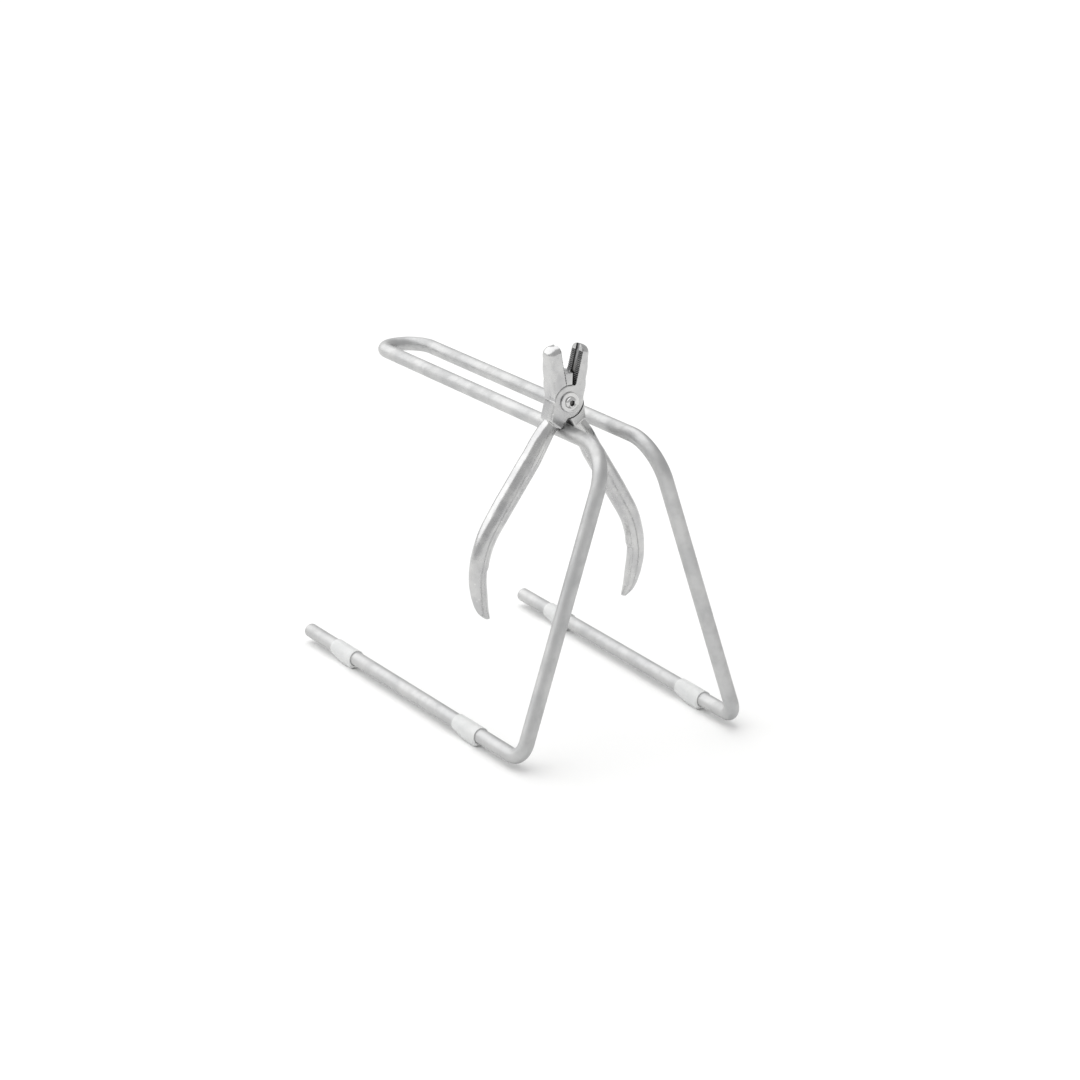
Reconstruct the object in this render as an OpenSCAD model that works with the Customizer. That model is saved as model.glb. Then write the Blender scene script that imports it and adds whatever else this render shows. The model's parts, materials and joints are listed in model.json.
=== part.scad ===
// A bench stand bent from one round rod, and a pair of riveted pliers hung astride one of its rails.
// +Z is up and +Y runs from the uprights back to the closed end of the rails.
// The origin lies on the bench, under the middle of the whole part.

/* [Rod stand] */
// Diameter of the round rod
rod_d = 8; // [5:0.5:10]
// Distance between the runners at their front corners, rod centre to rod centre
runner_spacing = 133; // [100:1:180]
// Length of each runner, from its front corner to its free end
runner_len = 224; // [170:1:320]
// Outward splay of each runner towards the back, in degrees
runner_splay = 1.2; // [0:0.1:5]
// Height of the rails above the runners, rod centre to rod centre
rail_height = 154; // [125:1:240]
// Distance between the two rails, rod centre to rod centre
rail_spacing = 28.4; // [24:0.2:48]
// Distance of the top corners behind the bottom corners
upright_lean = 11; // [0:1:40]
// Length of the rails, from the top corners to the outside of the closed end
rail_len = 247; // [180:1:340]
// Bend radius of the bottom corners, to the rod centre
bottom_bend_r = 9; // [7:0.5:16]
// Bend radius of the top corners, to the rod centre
top_bend_r = 23; // [12:0.5:32]
// Straight length across the middle of the rails' closed end
closed_flat = 2; // [1:0.5:8]
// How much thinner the rod's radius is where it was bent
bend_neck = 0.04; // [0.03:0.01:0.1]
// Chamfer on the free ends of the rod
rod_chamfer = 0.8; // [0.2:0.1:2]

/* [Feet] */
// Length of each foot sleeve
foot_len = 22; // [12:1:30]
// Wall of the sleeve round the rod
foot_wall = 0.8; // [0.5:0.1:3]
// Thickness of the flat sole under the rod
foot_sole = 2.5; // [1.8:0.1:6]
// Width of the flat sole
foot_w = 8.6; // [6:0.2:9.6]
// Gap between the sleeve and the rod
foot_gap = 0.05; // [0.02:0.01:0.2]
// Left front foot, from the front corner to the middle of the foot
foot_front_left_at = 50; // [35:1:80]
// Right front foot, from the front corner to the middle of the foot
foot_front_right_at = 41; // [35:1:80]
// Rear feet, from the runner's free end to the middle of each foot
foot_rear_from_end = 43; // [25:1:60]

/* [Pliers] */
// Distance of the hanging pliers behind the top corners, along the rail
hang_at = 43; // [40:1:100]
// Clearance between the rail and each handle
seat_gap = 0.3; // [0.1:0.05:1]
// Thickness of the riveted joint and of the jaws
joint_t = 10.6; // [8:0.2:14]
// Radius of the round lap of each half
boss_r = 8.8; // [7:0.1:11]
// Gap between the two laps, and between a lap and the other half
lap_gap = 0.1; // [0.05:0.01:0.3]
// Length of the jaws from the pivot
jaw_len = 30; // [22:0.5:45]
// Width of each jaw at its root
jaw_root_w = 7.9; // [6:0.1:8.2]
// Width of each jaw at its rounded tip
jaw_tip_w = 5.6; // [3:0.1:7.5]
// Angle of each jaw from the middle line while the pliers hang, in degrees
jaw_open = 12; // [6:0.5:20]
// Distance between the teeth of the gripping faces
tooth_pitch = 1.5; // [1:0.1:3]
// Depth of the teeth
tooth_depth = 0.35; // [0.1:0.05:0.6]

/* [Handles] */
// Angle of each handle from the middle line while the pliers hang, in degrees
handle_angle = 34; // [28:0.5:42]
// Thickness of the handles from front to back
handle_t = 8.4; // [5:0.1:10]
// Width of a handle just below the joint
handle_root_w = 6.4; // [3.5:0.1:8]
// Width of a handle at its grip
handle_w = 8.2; // [5:0.1:10]
// Width of a handle at its rounded tip
handle_tip_w = 3.6; // [2:0.1:5]
// Straight length of a handle's inner edge, from beside the pivot
handle_straight = 74; // [55:1:100]
// Radius of a handle's inward bend, on its inner edge
handle_bend_r = 42; // [30:1:80]
// Angle of a handle's inward bend, in degrees
handle_bend = 42; // [20:1:60]
// Straight length past the bend
handle_end = 19; // [6:1:30]
// Length of the thick root block along each handle
root_block_len = 14; // [12:0.5:16]

/* [Rivet] */
// Radius of the rivet's shank
shank_r = 2.2; // [1.5:0.1:3]
// Running clearance of the front half on the shank
shank_gap = 0.05; // [0.02:0.01:0.1]
// Radius of the rivet's domed head
rivet_head_r = 3.1; // [2.6:0.1:5]
// Height of the rivet's domed head
rivet_head_h = 1.7; // [0.8:0.1:2.5]
// Height of the flat closed head at the back
rivet_tail_h = 1; // [0.5:0.1:2]
// Radius of the washer under the head
washer_r = 5.3; // [5.2:0.1:7]
// Thickness of the washer
washer_t = 1; // [0.5:0.1:2]

/* [Hidden] */
$fn = 96;
eps = 0.01;
leg_overlap = 0.1;

rod_r = rod_d / 2;
stand_colour = [0.78, 0.79, 0.80];
pliers_colour = [0.70, 0.71, 0.72];
foot_colour = [0.94, 0.95, 0.94];

// The rod as a line through its sharp corners, from the left free end to the right one
right_half = [
    [rail_spacing / 2, upright_lean + rail_len - rod_r, rail_height],
    [rail_spacing / 2, upright_lean, rail_height],
    [runner_spacing / 2, 0, 0],
    [runner_spacing / 2 + runner_len * sin(runner_splay), runner_len * cos(runner_splay), 0]
];
left_half = [for (i = [3:-1:0]) [-right_half[i].x, right_half[i].y, right_half[i].z]];
corners = concat(left_half, right_half);
closed_bend_r = (rail_spacing - closed_flat) / 2;
bends = [0, bottom_bend_r, top_bend_r, closed_bend_r, closed_bend_r, top_bend_r, bottom_bend_r, 0];
last = len(corners) - 1;

function unit(v) = v / norm(v);
function leg(i) = unit(corners[i + 1] - corners[i]);
function turn(i) = i == 0 || i == last ? 0 : acos(leg(i - 1) * leg(i));
function tangent_len(i) = bends[i] * tan(turn(i) / 2);
function bend_start(i) = corners[i] - leg(i - 1) * tangent_len(i);
function bend_in(i) = unit(leg(i) - leg(i - 1) * (leg(i - 1) * leg(i)));
function bend_centre(i) = bend_start(i) + bend_in(i) * bends[i];
function bend_point(i, a) = bend_centre(i) + bends[i] * (leg(i - 1) * sin(a) - bend_in(i) * cos(a));
function bend_heading(i, a) = leg(i - 1) * cos(a) + bend_in(i) * sin(a);
function rod_front(p, heading) = p.y - rod_r * sqrt(max(0, 1 - heading.y * heading.y));

// Places worked out from the bent rod
bottom_right = last - 1;
front_y = min([for (a = [0:0.5:turn(bottom_right)])
    rod_front(bend_point(bottom_right, a), bend_heading(bottom_right, a))]);
back_y = upright_lean + rail_len;
bench_z = -rod_r - foot_sole;

// The pliers straddle the left rail, so the crotch of the handles sets the pivot's height
crotch_depth = boss_r - lap_gap;
pivot_lift = crotch_depth + (rod_r + seat_gap) / sin(handle_angle);
pivot = [-rail_spacing / 2, upright_lean + hang_at, rail_height + pivot_lift];
half_t = joint_t / 2;
lap_clear_r = boss_r + lap_gap;

// The inner edge of a handle runs straight, bends inwards and runs straight again
inner_off = crotch_depth * sin(handle_angle);
bend_len = handle_bend_r * handle_bend * PI / 180;
handle_len = handle_straight + bend_len + handle_end;
function handle_turn(s) = max(0, min(s - handle_straight, bend_len)) / bend_len * handle_bend;
function handle_run(s) = [min(s, handle_straight), inner_off]
    + handle_bend_r * [sin(handle_turn(s)), 1 - cos(handle_turn(s))]
    + max(0, s - handle_straight - bend_len) * [cos(handle_bend), sin(handle_bend)];
function outward(s) = [sin(handle_turn(s)), -cos(handle_turn(s))];
function handle_width(s) = lookup(s / handle_len, [
    [0.12, handle_root_w],
    [0.45, handle_w],
    [0.78, handle_w * 0.92],
    [0.90, handle_w * 0.66],
    [1.00, handle_tip_w]]);

module placed() {
    translate([0, -(front_y + back_y) / 2, -bench_z]) children();
}

module along(direction) {
    rotate([0, acos(direction.z), atan2(direction.y, direction.x)]) children();
}

// A straight leg from its near end, with its far end chamfered
module bar(length, chamfer) {
    rotate_extrude() polygon([[0, 0], [rod_r, 0], [rod_r, length - chamfer], [rod_r - chamfer, length], [0, length]]);
}

// The two end legs run from their bend out to the chamfered free end
module end_leg(i, free_end, direction) {
    from = corners[i] + direction * (tangent_len(i) - leg_overlap);
    translate(from) along(direction) bar(norm(free_end - from), rod_chamfer);
}

// Every leg reaches a little way into the thinner bends at its ends
module middle_leg(i) {
    from = corners[i] + leg(i) * (tangent_len(i) - leg_overlap);
    to = bend_start(i + 1) + leg(i) * leg_overlap;
    translate(from) along(leg(i)) cylinder(r = rod_r, h = norm(to - from));
}

module rod_bend(i) {
    u = -bend_in(i);
    v = leg(i - 1);
    w = cross(u, v);
    c = bend_centre(i);
    multmatrix([[u.x, v.x, w.x, c.x], [u.y, v.y, w.y, c.y], [u.z, v.z, w.z, c.z], [0, 0, 0, 1]])
        rotate_extrude(angle = turn(i)) translate([bends[i], 0]) circle(r = rod_r - bend_neck);
}

module rack_rod() {
    color(stand_colour) placed() {
        end_leg(1, corners[0], -leg(0));
        for (i = [1:last - 2]) middle_leg(i);
        end_leg(last - 1, corners[last], leg(last - 1));
        for (i = [1:last - 1]) rod_bend(i);
    }
}

// A soft sleeve on a runner, with a flat sole on the bench
module foot(side, at) {
    color(foot_colour) placed()
        translate([side * (runner_spacing / 2 + at * sin(runner_splay)), at * cos(runner_splay), 0])
        rotate([0, 0, -side * runner_splay])
        translate([0, foot_len / 2, 0]) rotate([90, 0, 0])
        linear_extrude(foot_len) difference() {
            union() {
                circle(r = rod_r + foot_wall);
                translate([-foot_w / 2, bench_z]) square([foot_w, -bench_z]);
            }
            circle(r = rod_r + foot_gap);
        }
}

module foot_front_left() {
    foot(-1, foot_front_left_at);
}

module foot_front_right() {
    foot(1, foot_front_right_at);
}

module foot_rear_left() {
    foot(-1, runner_len - foot_rear_from_end);
}

module foot_rear_right() {
    foot(1, runner_len - foot_rear_from_end);
}

// Puts a piece drawn about the pivot into its place on the stand
module hung() {
    placed() translate(pivot) children();
}

// Turns a flat outline upright and gives it its thickness from y0 back to y1
module slab(y0, y1) {
    translate([0, y1, 0]) rotate([90, 0, 0]) linear_extrude(y1 - y0) children();
}

module jaw_outline() {
    rotate(-jaw_open) {
        polygon([[0, 0], [jaw_root_w, 0], [jaw_root_w, boss_r],
            [jaw_tip_w, jaw_len - jaw_tip_w / 2], [0, jaw_len - jaw_tip_w / 2]]);
        translate([jaw_tip_w / 2, jaw_len - jaw_tip_w / 2]) circle(r = jaw_tip_w / 2);
    }
}

// V grooves across the gripping face, from the round lap to the rounded tip
module teeth() {
    first = lap_clear_r + tooth_pitch;
    rotate([0, jaw_open, 0])
        for (z = [first:tooth_pitch:jaw_len - jaw_tip_w / 2])
            translate([0, 0, z]) rotate([0, 45, 0])
                cube([tooth_depth * sqrt(2), joint_t + 2 * eps, tooth_depth * sqrt(2)], center = true);
}

module handle_outline() {
    rotate(270 - handle_angle) {
        inner = [for (s = [0, each [handle_straight:2:handle_len], handle_len]) handle_run(s)];
        outer = [for (s = [0, each [18:4:handle_len], handle_len])
            handle_run(s) + outward(s) * handle_width(s)];
        polygon(concat(inner, [for (i = [len(outer) - 1:-1:0]) outer[i]]));
        translate(handle_run(handle_len) + outward(handle_len) * handle_tip_w / 2)
            circle(r = handle_tip_w / 2);
    }
}

module root_block_outline() {
    rotate(270 - handle_angle)
        polygon([[0, 0], [boss_r, -boss_r / 2], [root_block_len, inner_off - handle_w],
            [root_block_len, inner_off], [0, inner_off]]);
}

// One half: its round lap in front, its jaw leaning right and its handle down to the left
module pliers_half(bore_r) {
    difference() {
        union() {
            slab(-half_t, half_t) jaw_outline();
            slab(-half_t, half_t) root_block_outline();
            slab(-handle_t / 2, handle_t / 2) handle_outline();
            slab(-half_t, -lap_gap / 2) circle(r = boss_r);
        }
        slab(-lap_gap / 2, half_t + eps) circle(r = lap_clear_r);
        slab(-half_t - eps, half_t) circle(r = bore_r);
        teeth();
    }
}

module pliers_front_half() {
    color(pliers_colour) hung() pliers_half(shank_r + shank_gap);
}

module pliers_back_half() {
    color(pliers_colour) hung() rotate([0, 0, 180]) pliers_half(shank_r);
}

module pivot_washer() {
    color(pliers_colour) hung() slab(-half_t - lap_gap - washer_t, -half_t - lap_gap) difference() {
        circle(r = washer_r);
        circle(r = shank_r);
    }
}

module pivot_rivet() {
    dome_r = (rivet_head_r * rivet_head_r + rivet_head_h * rivet_head_h) / (2 * rivet_head_h);
    head_y = -half_t - lap_gap - washer_t;
    color(pliers_colour) hung() {
        difference() {
            intersection() {
                slab(head_y - rivet_head_h, head_y) circle(r = rivet_head_r);
                translate([0, head_y - rivet_head_h + dome_r, 0]) sphere(r = dome_r);
            }
            slab(head_y - rivet_head_h - eps, head_y - rivet_head_h * 0.6) circle(r = rivet_head_r * 0.3);
        }
        slab(head_y - eps, half_t + eps) circle(r = shank_r);
        slab(half_t, half_t + rivet_tail_h) circle(r = rivet_head_r);
    }
}

rack_rod();
foot_front_left();
foot_front_right();
foot_rear_left();
foot_rear_right();
pliers_front_half();
pliers_back_half();
pivot_washer();
pivot_rivet();
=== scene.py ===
import json
import math

import bmesh
import bpy
from mathutils import Matrix, Vector


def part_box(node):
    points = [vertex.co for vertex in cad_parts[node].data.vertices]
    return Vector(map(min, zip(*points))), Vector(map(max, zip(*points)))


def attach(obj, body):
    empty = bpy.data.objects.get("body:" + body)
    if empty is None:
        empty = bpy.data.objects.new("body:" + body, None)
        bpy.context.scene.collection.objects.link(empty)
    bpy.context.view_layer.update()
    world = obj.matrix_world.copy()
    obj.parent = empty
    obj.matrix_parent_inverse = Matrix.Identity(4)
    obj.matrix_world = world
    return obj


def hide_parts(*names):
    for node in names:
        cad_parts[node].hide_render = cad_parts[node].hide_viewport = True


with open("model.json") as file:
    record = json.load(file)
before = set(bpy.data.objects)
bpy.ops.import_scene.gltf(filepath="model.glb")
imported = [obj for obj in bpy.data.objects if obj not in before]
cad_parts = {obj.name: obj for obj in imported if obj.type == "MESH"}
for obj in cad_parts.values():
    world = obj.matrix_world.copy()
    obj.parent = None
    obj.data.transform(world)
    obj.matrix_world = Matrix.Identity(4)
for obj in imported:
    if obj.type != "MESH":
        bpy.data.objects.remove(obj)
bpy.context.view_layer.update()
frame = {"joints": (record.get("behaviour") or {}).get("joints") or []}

mm = 0.001
pivotJoint = next(j for j in frame["joints"] if j["name"] == "pliers_pivot")
pivot = Vector(pivotJoint["pos_m"])
acrossView = Vector((0, 1, 0))  # the pivot's own direction, from front to back
sharpEdge = math.radians(50)


def deselectAll():
    if bpy.context.mode != "OBJECT":
        bpy.ops.object.mode_set(mode="OBJECT")
    bpy.ops.object.select_all(action="DESELECT")


def pick(piece):
    deselectAll()
    piece.select_set(True)
    bpy.context.view_layer.objects.active = piece


def settle(piece, name):
    # puts the piece's place into its mesh, so its object sits unturned at the origin
    piece.name = name
    piece.data.name = name
    pick(piece)
    bpy.ops.object.transform_apply(location=True, rotation=True, scale=True)
    return piece


def applyModifier(piece, kind, **values):
    pick(piece)
    modifier = piece.modifiers.new(kind.title(), kind)
    for key, value in values.items():
        setattr(modifier, key, value)
    bpy.ops.object.modifier_apply(modifier=modifier.name)


def cutWith(piece, cutter):
    applyModifier(piece, "BOOLEAN", object=cutter, operation="DIFFERENCE", solver="EXACT")
    bpy.data.objects.remove(cutter)


def joinAll(parts):
    deselectAll()
    for part in parts:
        part.select_set(True)
    bpy.context.view_layer.objects.active = parts[0]
    bpy.ops.object.join()
    return bpy.context.view_layer.objects.active


def outwardFaces(piece):
    pick(piece)
    editAll(piece)
    bpy.ops.mesh.remove_doubles(threshold=1e-6)
    bpy.ops.mesh.normals_make_consistent(inside=False)
    bpy.ops.object.mode_set(mode="OBJECT")


def smoothByAngle(piece, degrees):
    pick(piece)
    bpy.ops.object.shade_smooth_by_angle(angle=math.radians(degrees))


def editAll(piece):
    # edit mode with every vertex selected
    pick(piece)
    bpy.context.tool_settings.mesh_select_mode = (True, False, False)
    bpy.ops.object.mode_set(mode="EDIT")
    bpy.ops.mesh.select_all(action="SELECT")


def turnTo(direction):
    # the rotation that turns +Z to a direction
    return Vector(direction).to_track_quat("Z", "Y").to_euler()


def selectWhere(piece, kind, test):
    # selects vertices, edges or faces by place in edit mode
    mesh = bmesh.from_edit_mesh(piece.data)
    bpy.ops.mesh.select_all(action="DESELECT")
    bpy.context.tool_settings.mesh_select_mode = (kind == "verts", kind == "edges", kind == "faces")
    for item in getattr(mesh, kind):
        item.select_set(test(item))
    mesh.select_flush_mode()
    bmesh.update_edit_mesh(piece.data)


rod = {
    "radius": 4.0 * mm,
    "runnerSpacing": 133 * mm,
    "runnerLength": 224 * mm,
    "splay": math.radians(1.2),
    "railHeight": 154 * mm,
    "railSpacing": 28.4 * mm,
    "uprightLean": 11 * mm,
    "railLength": 247 * mm,
    "bottomBend": 9 * mm,
    "topBend": 23 * mm,
    "closedFlat": 2 * mm,
    "sides": 48,
    "bendStep": math.radians(3.5),
    "sawnEdge": 1.1 * mm,
    "endInset": 1.4 * mm,
    "endMiddle": 0.2 * mm,
}


def rodCorners():
    # sharp corners of the rod's centre line, left free end to right free end, in the frame's own place
    low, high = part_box("rack_rod")
    front, bottom = high.y - rod["uprightLean"] - rod["railLength"], high.z - rod["radius"] - rod["railHeight"]
    base = Vector((0, front, bottom))
    backX = rod["runnerSpacing"] / 2 + rod["runnerLength"] * math.sin(rod["splay"])
    closedEnd = rod["uprightLean"] + rod["railLength"] - rod["radius"]
    right = [
        Vector((rod["railSpacing"] / 2, closedEnd, rod["railHeight"])),
        Vector((rod["railSpacing"] / 2, rod["uprightLean"], rod["railHeight"])),
        Vector((rod["runnerSpacing"] / 2, 0, 0)),
        Vector((backX, rod["runnerLength"] * math.cos(rod["splay"]), 0)),
    ]
    left = [Vector((-p.x, p.y, p.z)) for p in reversed(right)]
    return [base + p for p in left + right]


def bendRod():
    corners = rodCorners()
    closedBend = (rod["railSpacing"] - rod["closedFlat"]) / 2
    bends = [0, rod["bottomBend"], rod["topBend"], closedBend, closedBend, rod["topBend"], rod["bottomBend"], 0]
    legs = [(b - a).normalized() for a, b in zip(corners, corners[1:])]
    deselectAll()
    bpy.ops.mesh.primitive_circle_add(vertices=rod["sides"], radius=rod["radius"], location=corners[0],
                                      rotation=turnTo(legs[0]))
    piece = bpy.context.active_object
    settle(piece, "rodBar")
    editAll(piece)
    place = corners[0]
    for i in range(1, len(corners) - 1):
        turn = legs[i - 1].angle(legs[i])
        tangent = bends[i] * math.tan(turn / 2)
        start = corners[i] - legs[i - 1] * tangent
        bpy.ops.mesh.extrude_region_move(TRANSFORM_OT_translate={"value": start - place})
        inward = (legs[i] - legs[i - 1] * legs[i].dot(legs[i - 1])).normalized()
        axis = inward.cross(legs[i - 1])  # spin turns clockwise about its axis
        bpy.ops.mesh.spin(steps=max(8, round(turn / rod["bendStep"])), angle=turn,
                          center=start + inward * bends[i], axis=axis)
        place = corners[i] + legs[i] * tangent
    bpy.ops.mesh.extrude_region_move(TRANSFORM_OT_translate={"value": corners[-1] - place})
    for end, leg in ((corners[0], -legs[0]), (corners[-1], legs[-1])):
        capRodEnd(piece, end, leg)
    bpy.ops.object.mode_set(mode="OBJECT")
    outwardFaces(piece)
    smoothByAngle(piece, 50)
    return piece


def capRodEnd(piece, end, leg):
    # closes a sawn end and breaks its edge with a small round
    def onEnd(v):
        return abs((v.co - end).dot(leg)) < 1e-6 and (v.co - end).length < 2 * rod["radius"]

    selectWhere(piece, "verts", onEnd)
    bpy.ops.mesh.edge_face_add()
    selectWhere(piece, "edges", lambda e: all(onEnd(v) for v in e.verts))
    bpy.ops.mesh.bevel(offset=rod["sawnEdge"], segments=4, affect="EDGES")
    selectWhere(piece, "faces", lambda f: (f.calc_center_median() - end).length < rod["endMiddle"])
    bpy.ops.mesh.inset(thickness=rod["endInset"])


rodPiece = bendRod()
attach(rodPiece, "stand")
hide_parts("rack_rod")
print("stage: the rod is bent")


foot = {
    "length": 22 * mm,
    "boxWall": 0.8 * mm,  # wall of the foot that the sleeve stands in for
    "wall": 0.6 * mm,
    "slack": 0.01 * mm,
    "mouth": 0.12 * mm,
    "sides": 48,
    "noseShare": 0.16,  # share of the length that slopes up at the front
    "tailShare": 0.62,  # share of the length that slopes up at the back
    "slices": 22,
    "noseRise": 0.8,  # powers that shape how the sole rises and falls
    "tailRise": 1.3,
    "sideRise": 0.7,
    "fullness": 1.35,
}


def makeFoot(node):
    low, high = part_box(node)
    side = -1 if low.x < 0 else 1
    rodR = rod["radius"]
    middle = (low + high) / 2
    rodZ = high.z - foot["boxWall"] - rodR
    length = foot["length"]
    heading = Vector((side * math.sin(rod["splay"]), math.cos(rod["splay"]), 0))
    start = Vector((middle.x, middle.y, rodZ)) - heading * length / 2
    deselectAll()
    bpy.ops.mesh.primitive_circle_add(vertices=foot["sides"], radius=rodR + foot["wall"], location=start,
                                      rotation=turnTo(heading))
    piece = settle(bpy.context.active_object, "sleeve_" + node)
    editAll(piece)
    for _ in range(foot["slices"]):
        bpy.ops.mesh.extrude_region_move(TRANSFORM_OT_translate={"value": heading * length / foot["slices"]})
    bpy.ops.object.mode_set(mode="OBJECT")
    shapeSole(piece, start, heading, length, low.z, rodZ)
    applyModifier(piece, "SOLIDIFY", thickness=foot["wall"] - foot["slack"], offset=1)
    applyModifier(piece, "BEVEL", width=foot["mouth"], segments=3, limit_method="ANGLE", angle_limit=sharpEdge)
    outwardFaces(piece)
    smoothByAngle(piece, 45)
    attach(piece, "stand")
    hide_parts(node)
    return piece


def shapeSole(piece, start, heading, length, benchZ, rodZ):
    # draws the underside down into a flat pad that fades out towards the back
    reach = rodZ - benchZ
    radius = rod["radius"] + foot["wall"]
    for v in piece.data.vertices:
        along = min(1, max(0, (v.co - start).dot(heading) / length))
        nose = min(1, along / foot["noseShare"])
        tail = min(1, (1 - along) / foot["tailShare"])
        rise, fall = math.sin(nose * math.pi / 2), math.sin(tail * math.pi / 2)
        depth = rise ** foot["noseRise"] * fall ** foot["tailRise"]
        below = max(0, (rodZ - v.co.z) / radius)
        drop = (reach - radius) * depth
        flat = benchZ + (reach - radius) * (1 - depth)
        lowered = v.co.z - drop * below ** foot["sideRise"] * foot["fullness"]
        v.co.z = max(flat, lowered)


footNodes = ("foot_front_left", "foot_front_right", "foot_rear_left", "foot_rear_right")
sleeves = [makeFoot(name) for name in footNodes]
print("stage: the four feet are on")


pliers = {
    "jointThickness": 10.6 * mm,
    "lapRadius": 8.8 * mm,
    "lapClearance": 9.05 * mm,
    "lapGap": 0.1 * mm,
    "jawLength": 30 * mm,
    "jawRoot": 7.9 * mm,
    "jawTip": 7.2 * mm,
    "jawOpen": math.radians(12),
    "jawEdge": 2.0 * mm,
    "noseRound": 4.4 * mm,
    "faceOffset": {"front_half": 1.3 * mm, "back_half": 0.0},
    "throatTop": 15.4 * mm,
    "throatReach": 1.4 * mm,
    "handleAngle": math.radians(34),
    "handleStraight": 74 * mm,
    "bendRadius": 42 * mm,
    "bend": math.radians(42),
    "handleEnd": 19 * mm,
    "handleStart": 5 * mm,
    "rootBlock": 14.2 * mm,
    "blockTop": 4.6 * mm,
    "blockRise": 0.9 * mm,
    "blockNear": 0.88,  # share of the lap's radius
    "blockFar": 3.7 * mm,
    "blockEdge": 1.0 * mm,
    "jawThin": 0.96,
    "lapEdge": 0.5 * mm,
    "lapSeat": 0.6 * mm,
    "padStart": 96 * mm,
    "padStep": 0.75 * mm,
    "rings": 62,
    "ringSides": 40,
    "voxel": 0.30 * mm,
    "boreRadius": 2.25 * mm,
    "toothPitch": 0.95 * mm,
    "toothDepth": 0.4 * mm,
    "channelWidth": 3.2 * mm,
    "channelDepth": 0.7 * mm,
    "bareTip": 2.0 * mm,
}

# width from the front, thickness from front to back and inward swell, at shares of the handle's length
handleWidths = [(0.0, 7.6), (0.113, 8.6), (0.20, 10.6), (0.30, 11.5), (0.50, 11.5), (0.60, 11.0), (0.70, 10.3),
                (0.84, 10.2), (0.89, 9.5), (0.937, 8.2), (0.975, 6.0), (1.0, 2.6)]
handleDepths = [(0.0, 7.6), (0.113, 8.2), (0.18, 9.4), (0.30, 10.0), (0.60, 10.0), (0.775, 9.2), (0.89, 8.4),
                (0.96, 6.6), (1.0, 3.0)]
handleSwells = [(0.0, 0.0), (0.15, 0.0), (0.28, 1.7), (0.60, 1.7), (0.80, 1.3), (1.0, 0.6)]


def between(stops, share):
    for (x0, y0), (x1, y1) in zip(stops, stops[1:]):
        if share <= x1:
            t = (share - x0) / (x1 - x0)
            return (y0 + (y1 - y0) * t) * mm
    return stops[-1][1] * mm


def handlePath(s):
    # a place on the inner edge of the handle that hangs down to the left, with its heading and outward way
    crotch = (pliers["lapRadius"] - pliers["lapGap"]) * math.sin(pliers["handleAngle"])
    bendLength = pliers["bendRadius"] * pliers["bend"]
    turned = min(max(s - pliers["handleStraight"], 0), bendLength) / pliers["bendRadius"]
    past = max(0, s - pliers["handleStraight"] - bendLength)
    along = min(s, pliers["handleStraight"]) + pliers["bendRadius"] * math.sin(turned) + past * math.cos(turned)
    inward = crotch + pliers["bendRadius"] * (1 - math.cos(turned)) + past * math.sin(turned)
    down = pliers["handleAngle"]
    alongWay = Vector((-math.sin(down), 0, -math.cos(down)))
    inwardWay = Vector((math.cos(down), 0, -math.sin(down)))
    outward = alongWay * math.sin(turned) - inwardWay * math.cos(turned)
    heading = alongWay * math.cos(turned) + inwardWay * math.sin(turned)
    return pivot + alongWay * along + inwardWay * inward, heading, outward


def handleRings():
    total = pliers["handleStraight"] + pliers["bendRadius"] * pliers["bend"] + pliers["handleEnd"]
    rings = []
    for i in range(pliers["rings"] + 1):
        share = i / pliers["rings"]
        s = pliers["handleStart"] + (total - pliers["handleStart"]) * share
        edge, heading, outward = handlePath(s)
        width, depth = between(handleWidths, s / total), between(handleDepths, s / total)
        if s > pliers["padStart"]:
            edge = edge + outward * pliers["padStep"] * min(1, (total - s) / (6 * mm))
            width -= pliers["padStep"] * min(1, (total - s) / (6 * mm))
        middle = edge + outward * (width / 2 - between(handleSwells, s / total))
        rings.append((middle, heading, outward, width, depth))
    return rings


def makeHandle():
    # one round ring is carried along the handle and stretched to each section's width and thickness
    rings = handleRings()
    deselectAll()
    bpy.ops.mesh.primitive_circle_add(vertices=pliers["ringSides"], radius=0.5)
    piece = bpy.context.active_object
    place, heading, outward, width, depth = rings[0]
    turn = Matrix((outward, heading.cross(outward), heading)).transposed()
    piece.data.transform(Matrix.Translation(place) @ turn.to_4x4() @ Matrix.Diagonal((width, depth, 1, 1)))
    editAll(piece)
    bpy.ops.mesh.edge_face_add()
    for before, after in zip(rings, rings[1:]):
        bpy.ops.mesh.extrude_region_move(TRANSFORM_OT_translate={"value": after[0] - before[0]})
        turn = before[1].angle(after[1])
        if turn > 1e-6:
            bpy.ops.transform.rotate(value=turn, orient_axis="Y", orient_type="GLOBAL",
                                     center_override=after[0])
        stretchRing(piece, before, after)
    bpy.ops.object.mode_set(mode="OBJECT")
    return piece


def stretchRing(piece, before, after):
    place, heading, outward, width, depth = after
    mesh = bmesh.from_edit_mesh(piece.data)
    for v in mesh.verts:
        if v.select:
            offset = v.co - place
            across = offset.dot(outward) * width / before[3]
            v.co = place + outward * across + acrossView * offset.y * depth / before[4]
    bmesh.update_edit_mesh(piece.data)


def addBlock(corner, size, name):
    # a block with one corner at a place from the pivot
    deselectAll()
    middle = Vector(corner) + Vector(size) / 2
    bpy.ops.mesh.primitive_cube_add(size=1, location=pivot + middle, scale=size)
    return settle(bpy.context.active_object, name)


def addRound(radius, y0, y1, name, sides=128):
    # a round slab about the pivot, from y0 back to y1
    deselectAll()
    bpy.ops.mesh.primitive_cylinder_add(vertices=sides, radius=radius, depth=y1 - y0,
                                        location=pivot + Vector((0, (y0 + y1) / 2, 0)),
                                        rotation=(math.pi / 2, 0, 0))
    return settle(bpy.context.active_object, name)


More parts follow.
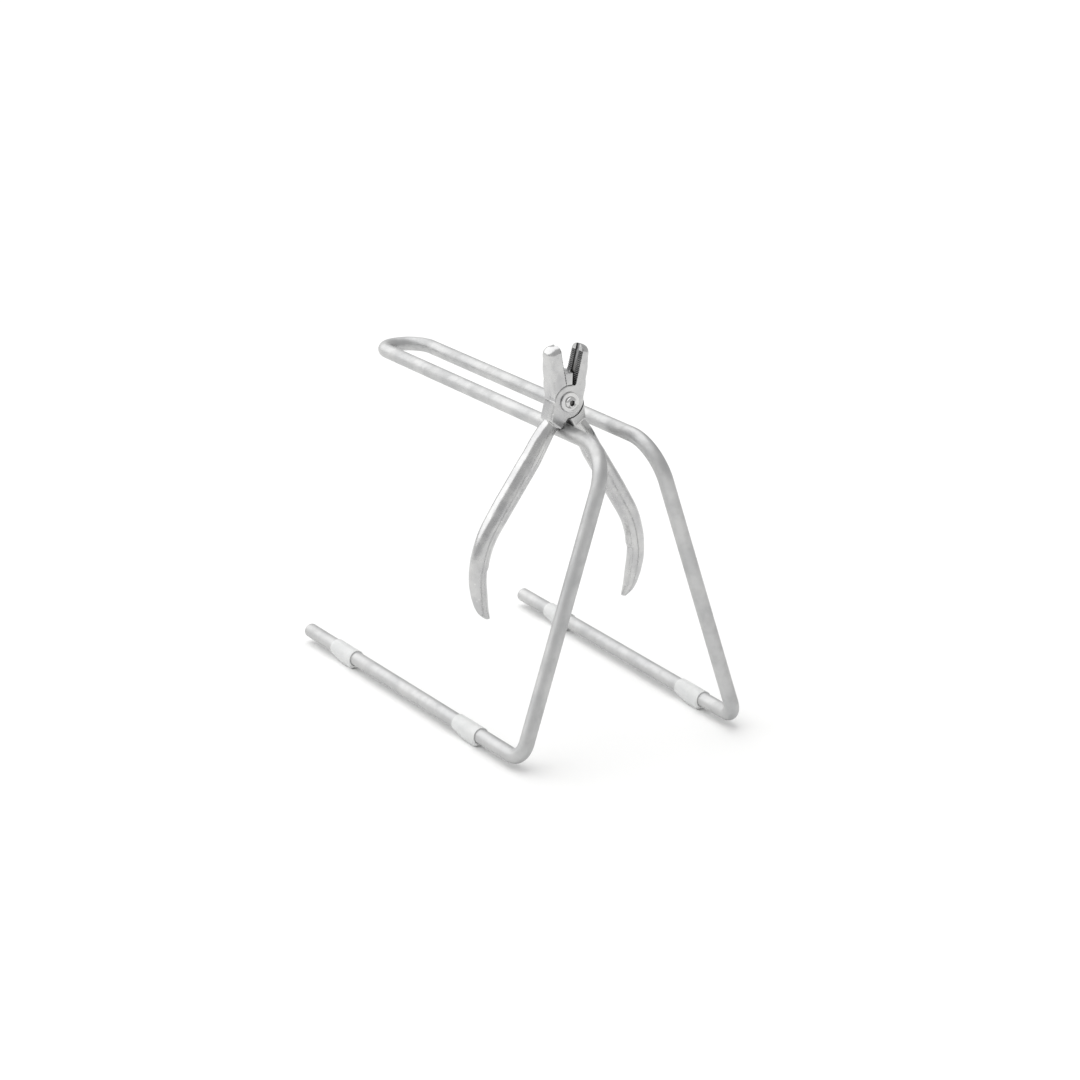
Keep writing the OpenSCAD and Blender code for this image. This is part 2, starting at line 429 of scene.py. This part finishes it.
def turnAboutPivot(piece, angle, axis):
    turn = Matrix.Rotation(angle, 4, axis)
    piece.data.transform(Matrix.Translation(pivot) @ turn @ Matrix.Translation(-pivot))


def makeJaw():
    # the upright bar of a jaw, tapered to its tip, then leant outwards
    half = pliers["jointThickness"] / 2
    root, tip, top = pliers["jawRoot"], pliers["jawTip"], pliers["jawLength"]
    piece = addBlock((0, -half, 0), (root, 2 * half, pliers["lapRadius"]), "jaw")
    bpy.ops.object.mode_set(mode="EDIT")
    selectWhere(piece, "faces", lambda f: f.normal.z > 0.9)
    bpy.ops.mesh.extrude_region_move(TRANSFORM_OT_translate={"value": (0, 0, top - pliers["lapRadius"])})
    bpy.ops.transform.resize(value=(tip / root, pliers["jawThin"], 1),
                             center_override=pivot + Vector((0, 0, top)))
    bpy.ops.object.mode_set(mode="OBJECT")
    turnAboutPivot(piece, pliers["jawOpen"], "Y")
    return piece


def makeRootBlock():
    # the thick block that joins the lap to the handle, drawn in the handle's own direction
    half = pliers["jointThickness"] / 2
    inner = (pliers["lapRadius"] - pliers["lapGap"]) * math.sin(pliers["handleAngle"])
    near, far, top = -pliers["lapRadius"] * pliers["blockNear"], -pliers["blockFar"], pliers["blockTop"]
    piece = addBlock((near, -half, -top), (inner - near, 2 * half, pliers["blockRise"]), "rootBlock")
    bpy.ops.object.mode_set(mode="EDIT")
    selectWhere(piece, "faces", lambda f: f.normal.z < -0.9)
    fall = pliers["rootBlock"] - top
    bpy.ops.mesh.extrude_region_move(TRANSFORM_OT_translate={"value": (0, 0, -fall)})
    bpy.ops.transform.resize(value=((inner - far) / (inner - near), 1, 1),
                             center_override=pivot + Vector((inner, 0, -pliers["rootBlock"])))
    selectWhere(piece, "edges", lambda e: e.calc_length() > 6 * mm
                or abs(e.verts[0].co.z - e.verts[1].co.z) > mm)
    bpy.ops.mesh.bevel(offset=pliers["blockEdge"], segments=4, affect="EDGES")
    bpy.ops.object.mode_set(mode="OBJECT")
    turnAboutPivot(piece, pliers["handleAngle"], "Y")
    return piece


def makeThroat():
    # the web beside the jaw's root that closes the bottom of the throat behind the other half's lap
    half = pliers["jointThickness"] / 2
    reach = pliers["throatReach"]
    size = (reach + 4 * mm, half - 0.1 * mm, pliers["throatTop"] - 4 * mm)
    return addBlock((-reach, 0.1 * mm, 4 * mm), size, "throat")


def forgeHalf():
    # jaw, lap, block and handle are grown together and smoothed like a forging
    half = pliers["jointThickness"] / 2
    lap = addRound(pliers["lapRadius"], -half, pliers["lapSeat"], "lap")
    applyModifier(lap, "BEVEL", width=pliers["lapEdge"], segments=3, limit_method="ANGLE",
                  angle_limit=sharpEdge)
    piece = joinAll([makeJaw(), lap, makeRootBlock(), makeThroat(), makeHandle()])
    applyModifier(piece, "REMESH", mode="VOXEL", voxel_size=pliers["voxel"], adaptivity=0.0)
    roundTip(piece)
    applyModifier(piece, "SMOOTH", factor=0.5, iterations=5)
    return piece


def roundTip(piece):
    # draws the jaw's outer edges in to a small round, which grows to a full round nose at the tip
    half, nose, edge = pliers["jointThickness"] / 2, pliers["noseRound"], pliers["jawEdge"]
    root, tip, top = pliers["jawRoot"], pliers["jawTip"], pliers["jawLength"]
    lean = Matrix.Rotation(pliers["jawOpen"], 4, "Y")
    for v in piece.data.vertices:
        place = lean.inverted() @ (v.co - pivot)
        rise = (place.z - pliers["lapRadius"]) / (top - pliers["lapRadius"])
        if rise > 0 and place.x > -mm:
            grow = min(1, max(0, (place.z - top + 3 * nose) / (2 * nose)))
            r = (edge + (nose - edge) * grow * grow * (3 - 2 * grow)) * min(1, rise * 5)
            core = Vector((min(place.x, root + (tip - root) * rise - r), min(half - r, max(r - half, place.y)),
                           min(place.z, top - r)))
            out = place - core
            if out.length > r > 0:
                v.co = pivot + lean @ (core + out * r / out.length)


def finishHalf(piece, body):
    # the machined faces: room for the other half's lap, the rivet's bore and the gripping face
    half = pliers["jointThickness"] / 2
    cutWith(piece, addRound(pliers["lapClearance"], -pliers["lapGap"] / 2, half + 2 * mm, "lapRoom"))
    cutWith(piece, addRound(pliers["boreRadius"], -half - 2 * mm, half + 2 * mm, "bore", sides=64))
    cutGrip(piece, pliers["faceOffset"][body])
    return piece


def cutGrip(piece, offset):
    # flattens the gripping face, mills its lengthwise channel and cuts its teeth
    half = pliers["jointThickness"] / 2
    deep, width, top = pliers["channelDepth"], pliers["channelWidth"], 30 * mm
    cuts = [
        ((-6 * mm, -half - mm, pliers["lapClearance"] * 0.97), (6 * mm + offset, half + mm, top)),
        ((-6 * mm, -0.1 * mm, pliers["throatTop"]), (6 * mm + offset, half + mm, top)),
        ((offset - mm, -width / 2, pliers["lapClearance"]), (mm + deep, width, top)),
    ]
    for corner, size in cuts:
        cutter = addBlock(corner, size, "gripCut")
        turnAboutPivot(cutter, pliers["jawOpen"], "Y")
        cutWith(piece, cutter)
    cutWith(piece, toothComb(offset))


def toothComb(offset):
    # one bar is turned on its corner and repeated up the gripping face
    half = pliers["jointThickness"] / 2
    side = pliers["toothDepth"] * math.sqrt(2)
    bars = []
    z = pliers["lapClearance"] + pliers["toothPitch"]
    while z < pliers["jawLength"] - pliers["noseRound"] * 0.7:
        # below the top of the throat only the side away from the web is toothed
        reach = 2 * half + 2 * mm if z > pliers["throatTop"] + side else half + mm
        deselectAll()
        bpy.ops.mesh.primitive_cube_add(size=1, location=pivot + Vector((offset, reach / 2 - half - mm, z)),
                                        scale=(side, reach, side), rotation=(0, math.pi / 4, 0))
        bars.append(settle(bpy.context.active_object, "toothBar"))
        z += pliers["toothPitch"]
    comb = joinAll(bars)
    turnAboutPivot(comb, pliers["jawOpen"], "Y")
    return comb


frontHalf = forgeHalf()
backHalf = frontHalf.copy()
backHalf.data = frontHalf.data.copy()
bpy.context.collection.objects.link(backHalf)
halves = {"front_half": frontHalf, "back_half": backHalf}
for body, piece in halves.items():
    finishHalf(piece, body)
    outwardFaces(piece)
turnAboutPivot(backHalf, math.pi, "Z")
for body, piece in halves.items():
    node = "pliers_" + body
    settle(piece, "forged_" + body)
    smoothByAngle(piece, 32)
    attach(piece, body)
    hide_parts(node)
    print("stage:", piece.name, len(piece.data.polygons), "faces")


rivet = {
    "shankRadius": 2.2 * mm,
    "headRadius": 3.1 * mm,
    "headHeight": 1.7 * mm,
    "tailHeight": 1.0 * mm,
    "dimple": 1.5 * mm,
    "dimpleDepth": 1.1 * mm,
    "washerRadius": 5.3 * mm,
    "washerThickness": 1.0 * mm,
    "sides": 96,
    "washerEdge": 0.32 * mm,
    "rim": 0.35 * mm,
}


def makeWasher():
    # a ring turned from its own outline, with rolled edges
    back = -pliers["jointThickness"] / 2 - pliers["lapGap"]
    piece = addRound(rivet["washerRadius"], back - rivet["washerThickness"], back, "washer", rivet["sides"])
    hole = addRound(rivet["shankRadius"] + 0.03 * mm, back - 3 * mm, back + 3 * mm, "hole", rivet["sides"])
    cutWith(piece, hole)
    outwardFaces(piece)
    applyModifier(piece, "BEVEL", width=rivet["washerEdge"], segments=4, limit_method="ANGLE",
                  angle_limit=sharpEdge)
    return piece


def makeRivet():
    # the outline is drawn as a chain of edges and spun about the pivot
    half = pliers["jointThickness"] / 2
    face = -half - pliers["lapGap"] - rivet["washerThickness"]
    front = face - rivet["headHeight"]
    headR, shankR, dimple = rivet["headRadius"], rivet["shankRadius"], rivet["dimple"]
    rim, floor = rivet["rim"], front + rivet["dimpleDepth"]
    outline = [(0, floor), (dimple * 0.75, floor), (dimple, front + 0.12 * mm)]
    outline += [(dimple + (headR - dimple) * math.sin(a),
                 face - rim - (rivet["headHeight"] - rim) * math.cos(a))
                for a in (math.radians(9 * i) for i in range(1, 11))]
    tail = half + rivet["tailHeight"]
    outline += [(headR, face), (shankR, face), (shankR, half), (headR, half),
                (headR, half + rivet["tailHeight"] * 0.6), (headR - 0.5 * mm, tail), (0, tail)]
    deselectAll()
    bpy.ops.mesh.primitive_plane_add(size=mm, location=pivot)
    piece = settle(bpy.context.active_object, "rivet")
    editAll(piece)
    bpy.ops.mesh.merge(type="CENTER")
    first = Vector((outline[0][0], outline[0][1], 0))
    bpy.ops.transform.translate(value=first)
    place = first
    for x, y in outline[1:]:
        after = Vector((x, y, 0))
        bpy.ops.mesh.extrude_region_move(TRANSFORM_OT_translate={"value": after - place})
        place = after
    bpy.ops.mesh.select_all(action="SELECT")
    bpy.ops.mesh.spin(steps=rivet["sides"], angle=2 * math.pi, center=pivot, axis=(0, 1, 0))
    bpy.ops.object.mode_set(mode="OBJECT")
    outwardFaces(piece)
    return piece


turned = [makeWasher(), makeRivet()]
for piece, node in zip(turned, ("pivot_washer", "pivot_rivet")):
    settle(piece, "turned_" + node.split("_")[1])
    smoothByAngle(piece, 32)
    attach(piece, "back_half")
    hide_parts(node)
print("stage: washer and rivet are in")


def newMaterial(name):
    material = bpy.data.materials.new(name)
    material.use_nodes = True
    return material, material.node_tree.nodes, material.node_tree.links


def newGroup(name, inputs, outputs):
    # a shader node group with named sockets, and its two end nodes
    group = bpy.data.node_groups.new(name, "ShaderNodeTree")
    for label, kind, value in inputs:
        socket = group.interface.new_socket(name=label, in_out="INPUT", socket_type="NodeSocket" + kind)
        socket.default_value = value
    for label, kind in outputs:
        group.interface.new_socket(name=label, in_out="OUTPUT", socket_type="NodeSocket" + kind)
    start = group.nodes.new("NodeGroupInput")
    end = group.nodes.new("NodeGroupOutput")
    return group, group.nodes, group.links, start, end


def useGroup(nodes, group, **values):
    node = nodes.new("ShaderNodeGroup")
    node.node_tree = group
    for label, value in values.items():
        node.inputs[label].default_value = value
    return node


def addNoise(nodes, links, place, detail, scale):
    noise = nodes.new("ShaderNodeTexNoise")
    noise.inputs["Detail"].default_value = detail
    noise.inputs["Roughness"].default_value = 0.6
    links.new(place, noise.inputs["Vector"])
    links.new(scale, noise.inputs["Scale"])
    return noise


def addRange(nodes, links, value, fromLow, fromHigh, toLow, toHigh):
    # a smooth ramp; each bound is a number or a socket
    ramp = nodes.new("ShaderNodeMapRange")
    ramp.interpolation_type = "SMOOTHSTEP"
    links.new(value, ramp.inputs["Value"])
    for label, bound in (("From Min", fromLow), ("From Max", fromHigh), ("To Min", toLow), ("To Max", toHigh)):
        if isinstance(bound, (int, float)):
            ramp.inputs[label].default_value = bound
        else:
            links.new(bound, ramp.inputs[label])
    return ramp.outputs["Result"]


def addMath(nodes, links, operation, first, second):
    node = nodes.new("ShaderNodeMath")
    node.operation = operation
    for socket, value in zip(node.inputs, (first, second)):
        if isinstance(value, (int, float)):
            socket.default_value = value
        else:
            links.new(value, socket)
    return node.outputs[0]


def addMix(nodes, links, factor, first, second):
    mix = nodes.new("ShaderNodeMix")
    mix.data_type = "RGBA"
    links.new(factor, mix.inputs["Factor"])
    for socket, value in ((mix.inputs[6], first), (mix.inputs[7], second)):
        if isinstance(value, tuple):
            socket.default_value = value
        else:
            links.new(value, socket)
    return mix.outputs[2]


def plateGroup():
    # plating: broad cloudy tone, fine pits and grain, all in metres on the object
    group, nodes, links, start, end = newGroup(
        "platedSurface",
        [("Cloud Scale", "Float", 45.0), ("Grain Scale", "Float", 2600.0), ("Pit Scale", "Float", 900.0)],
        [("Cloud", "Float"), ("Grain", "Float"), ("Pits", "Float"), ("Height", "Float")])
    place = nodes.new("ShaderNodeTexCoord").outputs["Object"]
    cloud = addNoise(nodes, links, place, 5.0, start.outputs["Cloud Scale"])
    grain = addNoise(nodes, links, place, 3.0, start.outputs["Grain Scale"])
    cells = nodes.new("ShaderNodeTexVoronoi")
    links.new(place, cells.inputs["Vector"])
    links.new(start.outputs["Pit Scale"], cells.inputs["Scale"])
    pits = addRange(nodes, links, cells.outputs["Distance"], 0.05, 0.28, 1.0, 0.0)
    height = addMath(nodes, links, "SUBTRACT", grain.outputs["Fac"], pits)
    links.new(addRange(nodes, links, cloud.outputs["Fac"], 0.3, 0.7, 0.0, 1.0), end.inputs["Cloud"])
    links.new(grain.outputs["Fac"], end.inputs["Grain"])
    links.new(pits, end.inputs["Pits"])
    links.new(height, end.inputs["Height"])
    return group


def wearGroup():
    # handling: rubbed bright on raised edges, dirt kept in hollows, smudges in between
    group, nodes, links, start, end = newGroup(
        "handlingWear",
        [("Smudge Scale", "Float", 120.0), ("Edge Low", "Float", 0.52), ("Edge High", "Float", 0.60)],
        [("Edge", "Float"), ("Dirt", "Float"), ("Smudge", "Float")])
    place = nodes.new("ShaderNodeTexCoord").outputs["Object"]
    smudge = addNoise(nodes, links, place, 6.0, start.outputs["Smudge Scale"])
    shape = nodes.new("ShaderNodeNewGeometry").outputs["Pointiness"]
    ragged = addMath(nodes, links, "ADD", shape, addMath(
        nodes, links, "MULTIPLY", addMath(nodes, links, "SUBTRACT", smudge.outputs["Fac"], 0.5), 0.05))
    edge = addRange(nodes, links, ragged, start.outputs["Edge Low"], start.outputs["Edge High"], 0.0, 1.0)
    links.new(edge, end.inputs["Edge"])
    links.new(addRange(nodes, links, ragged, 0.40, 0.485, 1.0, 0.0), end.inputs["Dirt"])
    links.new(addRange(nodes, links, smudge.outputs["Fac"], 0.42, 0.66, 0.0, 1.0), end.inputs["Smudge"])
    return group


plate = plateGroup()
wear = wearGroup()


def platedMetal(name, look):
    # a plated steel with its own tones, gloss and bump
    material, nodes, links = newMaterial(name)
    shader = nodes["Principled BSDF"]
    surface = useGroup(nodes, plate, **look["surface"])
    worn = useGroup(nodes, wear, **look["wear"])
    tone = addMix(nodes, links, surface.outputs["Cloud"], look["dark"], look["light"])
    tone = addMix(nodes, links, addMath(nodes, links, "MULTIPLY", surface.outputs["Pits"], look["pitShare"]),
                  tone, look["pit"])
    tone = addMix(nodes, links, addMath(nodes, links, "MULTIPLY", worn.outputs["Edge"], look["edgeShare"]),
                  tone, look["edge"])
    tone = addMix(nodes, links, addMath(nodes, links, "MULTIPLY", worn.outputs["Dirt"], look["dirtShare"]),
                  tone, look["dirt"])
    links.new(tone, shader.inputs["Base Color"])
    rough = addRange(nodes, links, worn.outputs["Smudge"], 0.0, 1.0, look["rough"][0], look["rough"][1])
    rough = addMath(nodes, links, "ADD", rough, addMath(nodes, links, "MULTIPLY", surface.outputs["Grain"],
                                                        look["grainRough"]))
    links.new(rough, shader.inputs["Roughness"])
    shader.inputs["Metallic"].default_value = 1.0
    bump = nodes.new("ShaderNodeBump")
    bump.inputs["Strength"].default_value = look["bump"]
    bump.inputs["Distance"].default_value = look["bumpDepth"]
    links.new(surface.outputs["Height"], bump.inputs["Height"])
    links.new(bump.outputs["Normal"], shader.inputs["Normal"])
    return material


rodLook = {
    "surface": {"Cloud Scale": 60.0, "Grain Scale": 1500.0, "Pit Scale": 1500.0},
    "wear": {"Smudge Scale": 90.0, "Edge Low": 0.56, "Edge High": 0.66},
    "dark": (0.475, 0.478, 0.48, 1),
    "light": (0.565, 0.565, 0.562, 1),
    "pit": (0.40, 0.40, 0.41, 1),
    "pitShare": 0.14,
    "edge": (0.72, 0.72, 0.71, 1),
    "edgeShare": 0.5,
    "dirt": (0.30, 0.30, 0.30, 1),
    "dirtShare": 0.2,
    "rough": (0.42, 0.56),
    "grainRough": 0.08,
    "bump": 0.05,
    "bumpDepth": 0.06 * mm,
}

nickelLook = {
    "surface": {"Cloud Scale": 90.0, "Grain Scale": 2200.0, "Pit Scale": 1700.0},
    "wear": {"Smudge Scale": 160.0, "Edge Low": 0.53, "Edge High": 0.62},
    "dark": (0.475, 0.475, 0.48, 1),
    "light": (0.595, 0.595, 0.59, 1),
    "pit": (0.36, 0.36, 0.365, 1),
    "pitShare": 0.12,
    "edge": (0.74, 0.74, 0.73, 1),
    "edgeShare": 0.6,
    "dirt": (0.13, 0.125, 0.12, 1),
    "dirtShare": 0.75,
    "rough": (0.20, 0.30),
    "grainRough": 0.06,
    "bump": 0.07,
    "bumpDepth": 0.05 * mm,
}

rivetLook = dict(nickelLook, rough=(0.10, 0.18), light=(0.68, 0.68, 0.67, 1), dark=(0.57, 0.57, 0.575, 1))

# dark tooth steel, also used as painted shade on the floor of the rivet's dimple
toothAndDimpleShadeLook = dict(nickelLook, dark=(0.08, 0.08, 0.082, 1), light=(0.17, 0.17, 0.17, 1),
                 edge=(0.30, 0.30, 0.30, 1), rough=(0.34, 0.48), bump=0.25)

channelLook = dict(nickelLook, dark=(0.24, 0.24, 0.245, 1), light=(0.38, 0.38, 0.38, 1), rough=(0.34, 0.46))

plasticLook = {
    "clear": (0.84, 0.845, 0.84, 1),
    "milky": (0.76, 0.77, 0.765, 1),
    "cover": 0.72,
    "scuffs": (0.70, 0.70, 0.69, 1),
    "rough": (0.30, 0.46),
    "subsurface": 0.25,
    "depth": 1.2 * mm,
    "bump": 0.10,
    "bumpDepth": 0.08 * mm,
}


def softPlastic():
    # milky soft plastic, a little glossy, scuffed where it meets the bench
    material, nodes, links = newMaterial("milkyFootPlastic")
    shader = nodes["Principled BSDF"]
    surface = useGroup(nodes, plate, **{"Cloud Scale": 160.0, "Grain Scale": 1200.0, "Pit Scale": 500.0})
    worn = useGroup(nodes, wear, **{"Smudge Scale": 260.0, "Edge Low": 0.53, "Edge High": 0.60})
    tone = addMix(nodes, links, surface.outputs["Cloud"], plasticLook["milky"], plasticLook["clear"])
    tone = addMix(nodes, links, addMath(nodes, links, "MULTIPLY", worn.outputs["Edge"], 0.35), tone,
                  plasticLook["scuffs"])
    links.new(tone, shader.inputs["Base Color"])
    links.new(addRange(nodes, links, worn.outputs["Smudge"], 0.0, 1.0, *plasticLook["rough"]),
              shader.inputs["Roughness"])
    shader.inputs["Subsurface Weight"].default_value = plasticLook["subsurface"]
    shader.inputs["Subsurface Radius"].default_value = (1.0, 1.0, 0.95)
    shader.inputs["Subsurface Scale"].default_value = plasticLook["depth"]
    shader.inputs["Alpha"].default_value = plasticLook["cover"]
    bump = nodes.new("ShaderNodeBump")
    bump.inputs["Strength"].default_value = plasticLook["bump"]
    bump.inputs["Distance"].default_value = plasticLook["bumpDepth"]
    links.new(surface.outputs["Height"], bump.inputs["Height"])
    links.new(bump.outputs["Normal"], shader.inputs["Normal"])
    return material


rodSteel = platedMetal("satinRodPlate", rodLook)
nickel = platedMetal("polishedNickel", nickelLook)
rivetSteel = platedMetal("brightRivet", rivetLook)
# this dark material also paints shade into the rivet's dimple
toothSteelAndDimpleShade = platedMetal("darkTeeth", toothAndDimpleShadeLook)
channelSteel = platedMetal("dullChannel", channelLook)
footPlastic = softPlastic()


def paintDimpleShade(piece):
    # painted shade: the floor of the rivet's dimple is given the dark tooth material, which stands in for the
    # shade inside the recess
    piece.data.materials.append(toothSteelAndDimpleShade)
    face = pivot.y - pliers["jointThickness"] / 2 - pliers["lapGap"] - rivet["washerThickness"]
    bottom = face - rivet["headHeight"] + rivet["dimpleDepth"] + 0.1 * mm
    for facet in piece.data.polygons:
        place = facet.center - pivot
        if math.hypot(place.x, place.z) < rivet["dimple"] and facet.center.y < bottom:
            # painted shade on the dimple's floor
            facet.material_index = 1


def paintTeeth(piece, offset, about):
    # the toothed strips keep their dark unplated steel, and the channel between them is duller
    piece.data.materials.append(toothSteelAndDimpleShade)
    piece.data.materials.append(channelSteel)
    back = (Matrix.Rotation(-pliers["jawOpen"], 4, "Y") @ Matrix.Rotation(about, 4, "Z")
            @ Matrix.Translation(-pivot))
    reach = pliers["jawLength"] - pliers["bareTip"]
    for face in piece.data.polygons:
        place = back @ face.center
        onStrip = abs(place.x - offset - pliers["toothDepth"] / 2) < pliers["toothDepth"] / 2 + 0.02 * mm
        inside = -0.05 * mm < place.x - offset < pliers["channelDepth"] + 0.1 * mm
        if not pliers["lapClearance"] < place.z < reach:
            continue
        if onStrip and abs(place.y) > pliers["channelWidth"] / 2:
            face.material_index = 1
        elif inside and abs(place.y) <= pliers["channelWidth"] / 2:
            face.material_index = 2


rodPiece.data.materials.append(rodSteel)
for body, piece in halves.items():
    piece.data.materials.append(nickel)
    paintTeeth(piece, pliers["faceOffset"][body], 0.0 if body == "front_half" else math.pi)
for piece in turned:
    piece.data.materials.append(rivetSteel)
# paints shade into the rivet's dimple with the dark tooth material
paintDimpleShade(turned[1])
for piece in sleeves:
    piece.data.materials.append(footPlastic)
print("stage: materials are on")


studio = {
    "floorSize": 14.0,
    "floorColour": (0.92, 0.92, 0.915, 1),
    "roomStrength": 0.62,
    "sunFrom": (-0.36, 0.44, 0.82),
    "sunStrength": 2.2,
    "sunAngle": math.radians(100),
    "azimuth": math.radians(-32.13),
    "elevation": math.radians(17.45),
    "roll": math.radians(1.9),
    "distance": 1.463,
    "aim": (0, -0.0185, 0.0881),
    "lens": 90,
    "sensor": 36,
    "shift": (0.0128, -0.0074),
}


def makeFloor():
    # plain pale paper
    deselectAll()
    bpy.ops.mesh.primitive_plane_add(size=studio["floorSize"], location=(0, 0, 0))
    floor = settle(bpy.context.active_object, "studioFloor")
    material, nodes, _ = newMaterial("palePaper")
    shader = nodes["Principled BSDF"]
    shader.inputs["Base Color"].default_value = studio["floorColour"]
    shader.inputs["Roughness"].default_value = 0.95
    shader.inputs["Specular IOR Level"].default_value = 0.1
    floor.data.materials.append(material)


def makeCamera():
    azimuth, elevation, roll = studio["azimuth"], studio["elevation"], studio["roll"]
    back = Vector((math.sin(azimuth) * math.cos(elevation), -math.cos(azimuth) * math.cos(elevation),
                   math.sin(elevation)))
    right = Vector((math.cos(azimuth), math.sin(azimuth), 0))
    up = back.cross(right)
    tiltedRight = right * math.cos(roll) + up * math.sin(roll)
    tiltedUp = up * math.cos(roll) - right * math.sin(roll)
    deselectAll()
    bpy.ops.object.camera_add(location=Vector(studio["aim"]) + back * studio["distance"])
    camera = bpy.context.active_object
    camera.rotation_euler = Matrix((tiltedRight, tiltedUp, back)).transposed().to_euler()
    camera.data.lens = studio["lens"]
    camera.data.sensor_width = studio["sensor"]
    camera.data.shift_x, camera.data.shift_y = studio["shift"]
    camera.data.clip_start = 0.05
    camera.data.clip_end = 30
    bpy.context.scene.camera = camera


def lightStudio():
    # an even room and one very large soft light from above and behind on the left
    deselectAll()
    bpy.ops.object.light_add(type="SUN", location=(-1.0, 1.0, 2.0))
    sun = bpy.context.active_object
    sun.name = "softSun"
    sun.rotation_euler = turnTo(studio["sunFrom"])
    sun.data.energy = studio["sunStrength"]
    sun.data.angle = studio["sunAngle"]
    world = bpy.data.worlds.new("paleRoom")
    bpy.context.scene.world = world
    world.use_nodes = True
    room = world.node_tree.nodes["Background"]
    room.inputs["Color"].default_value = (1, 1, 1, 1)
    room.inputs["Strength"].default_value = studio["roomStrength"]
    bpy.context.scene.view_settings.view_transform = "Standard"


makeFloor()
makeCamera()
lightStudio()
print("stage: floor, light and camera")
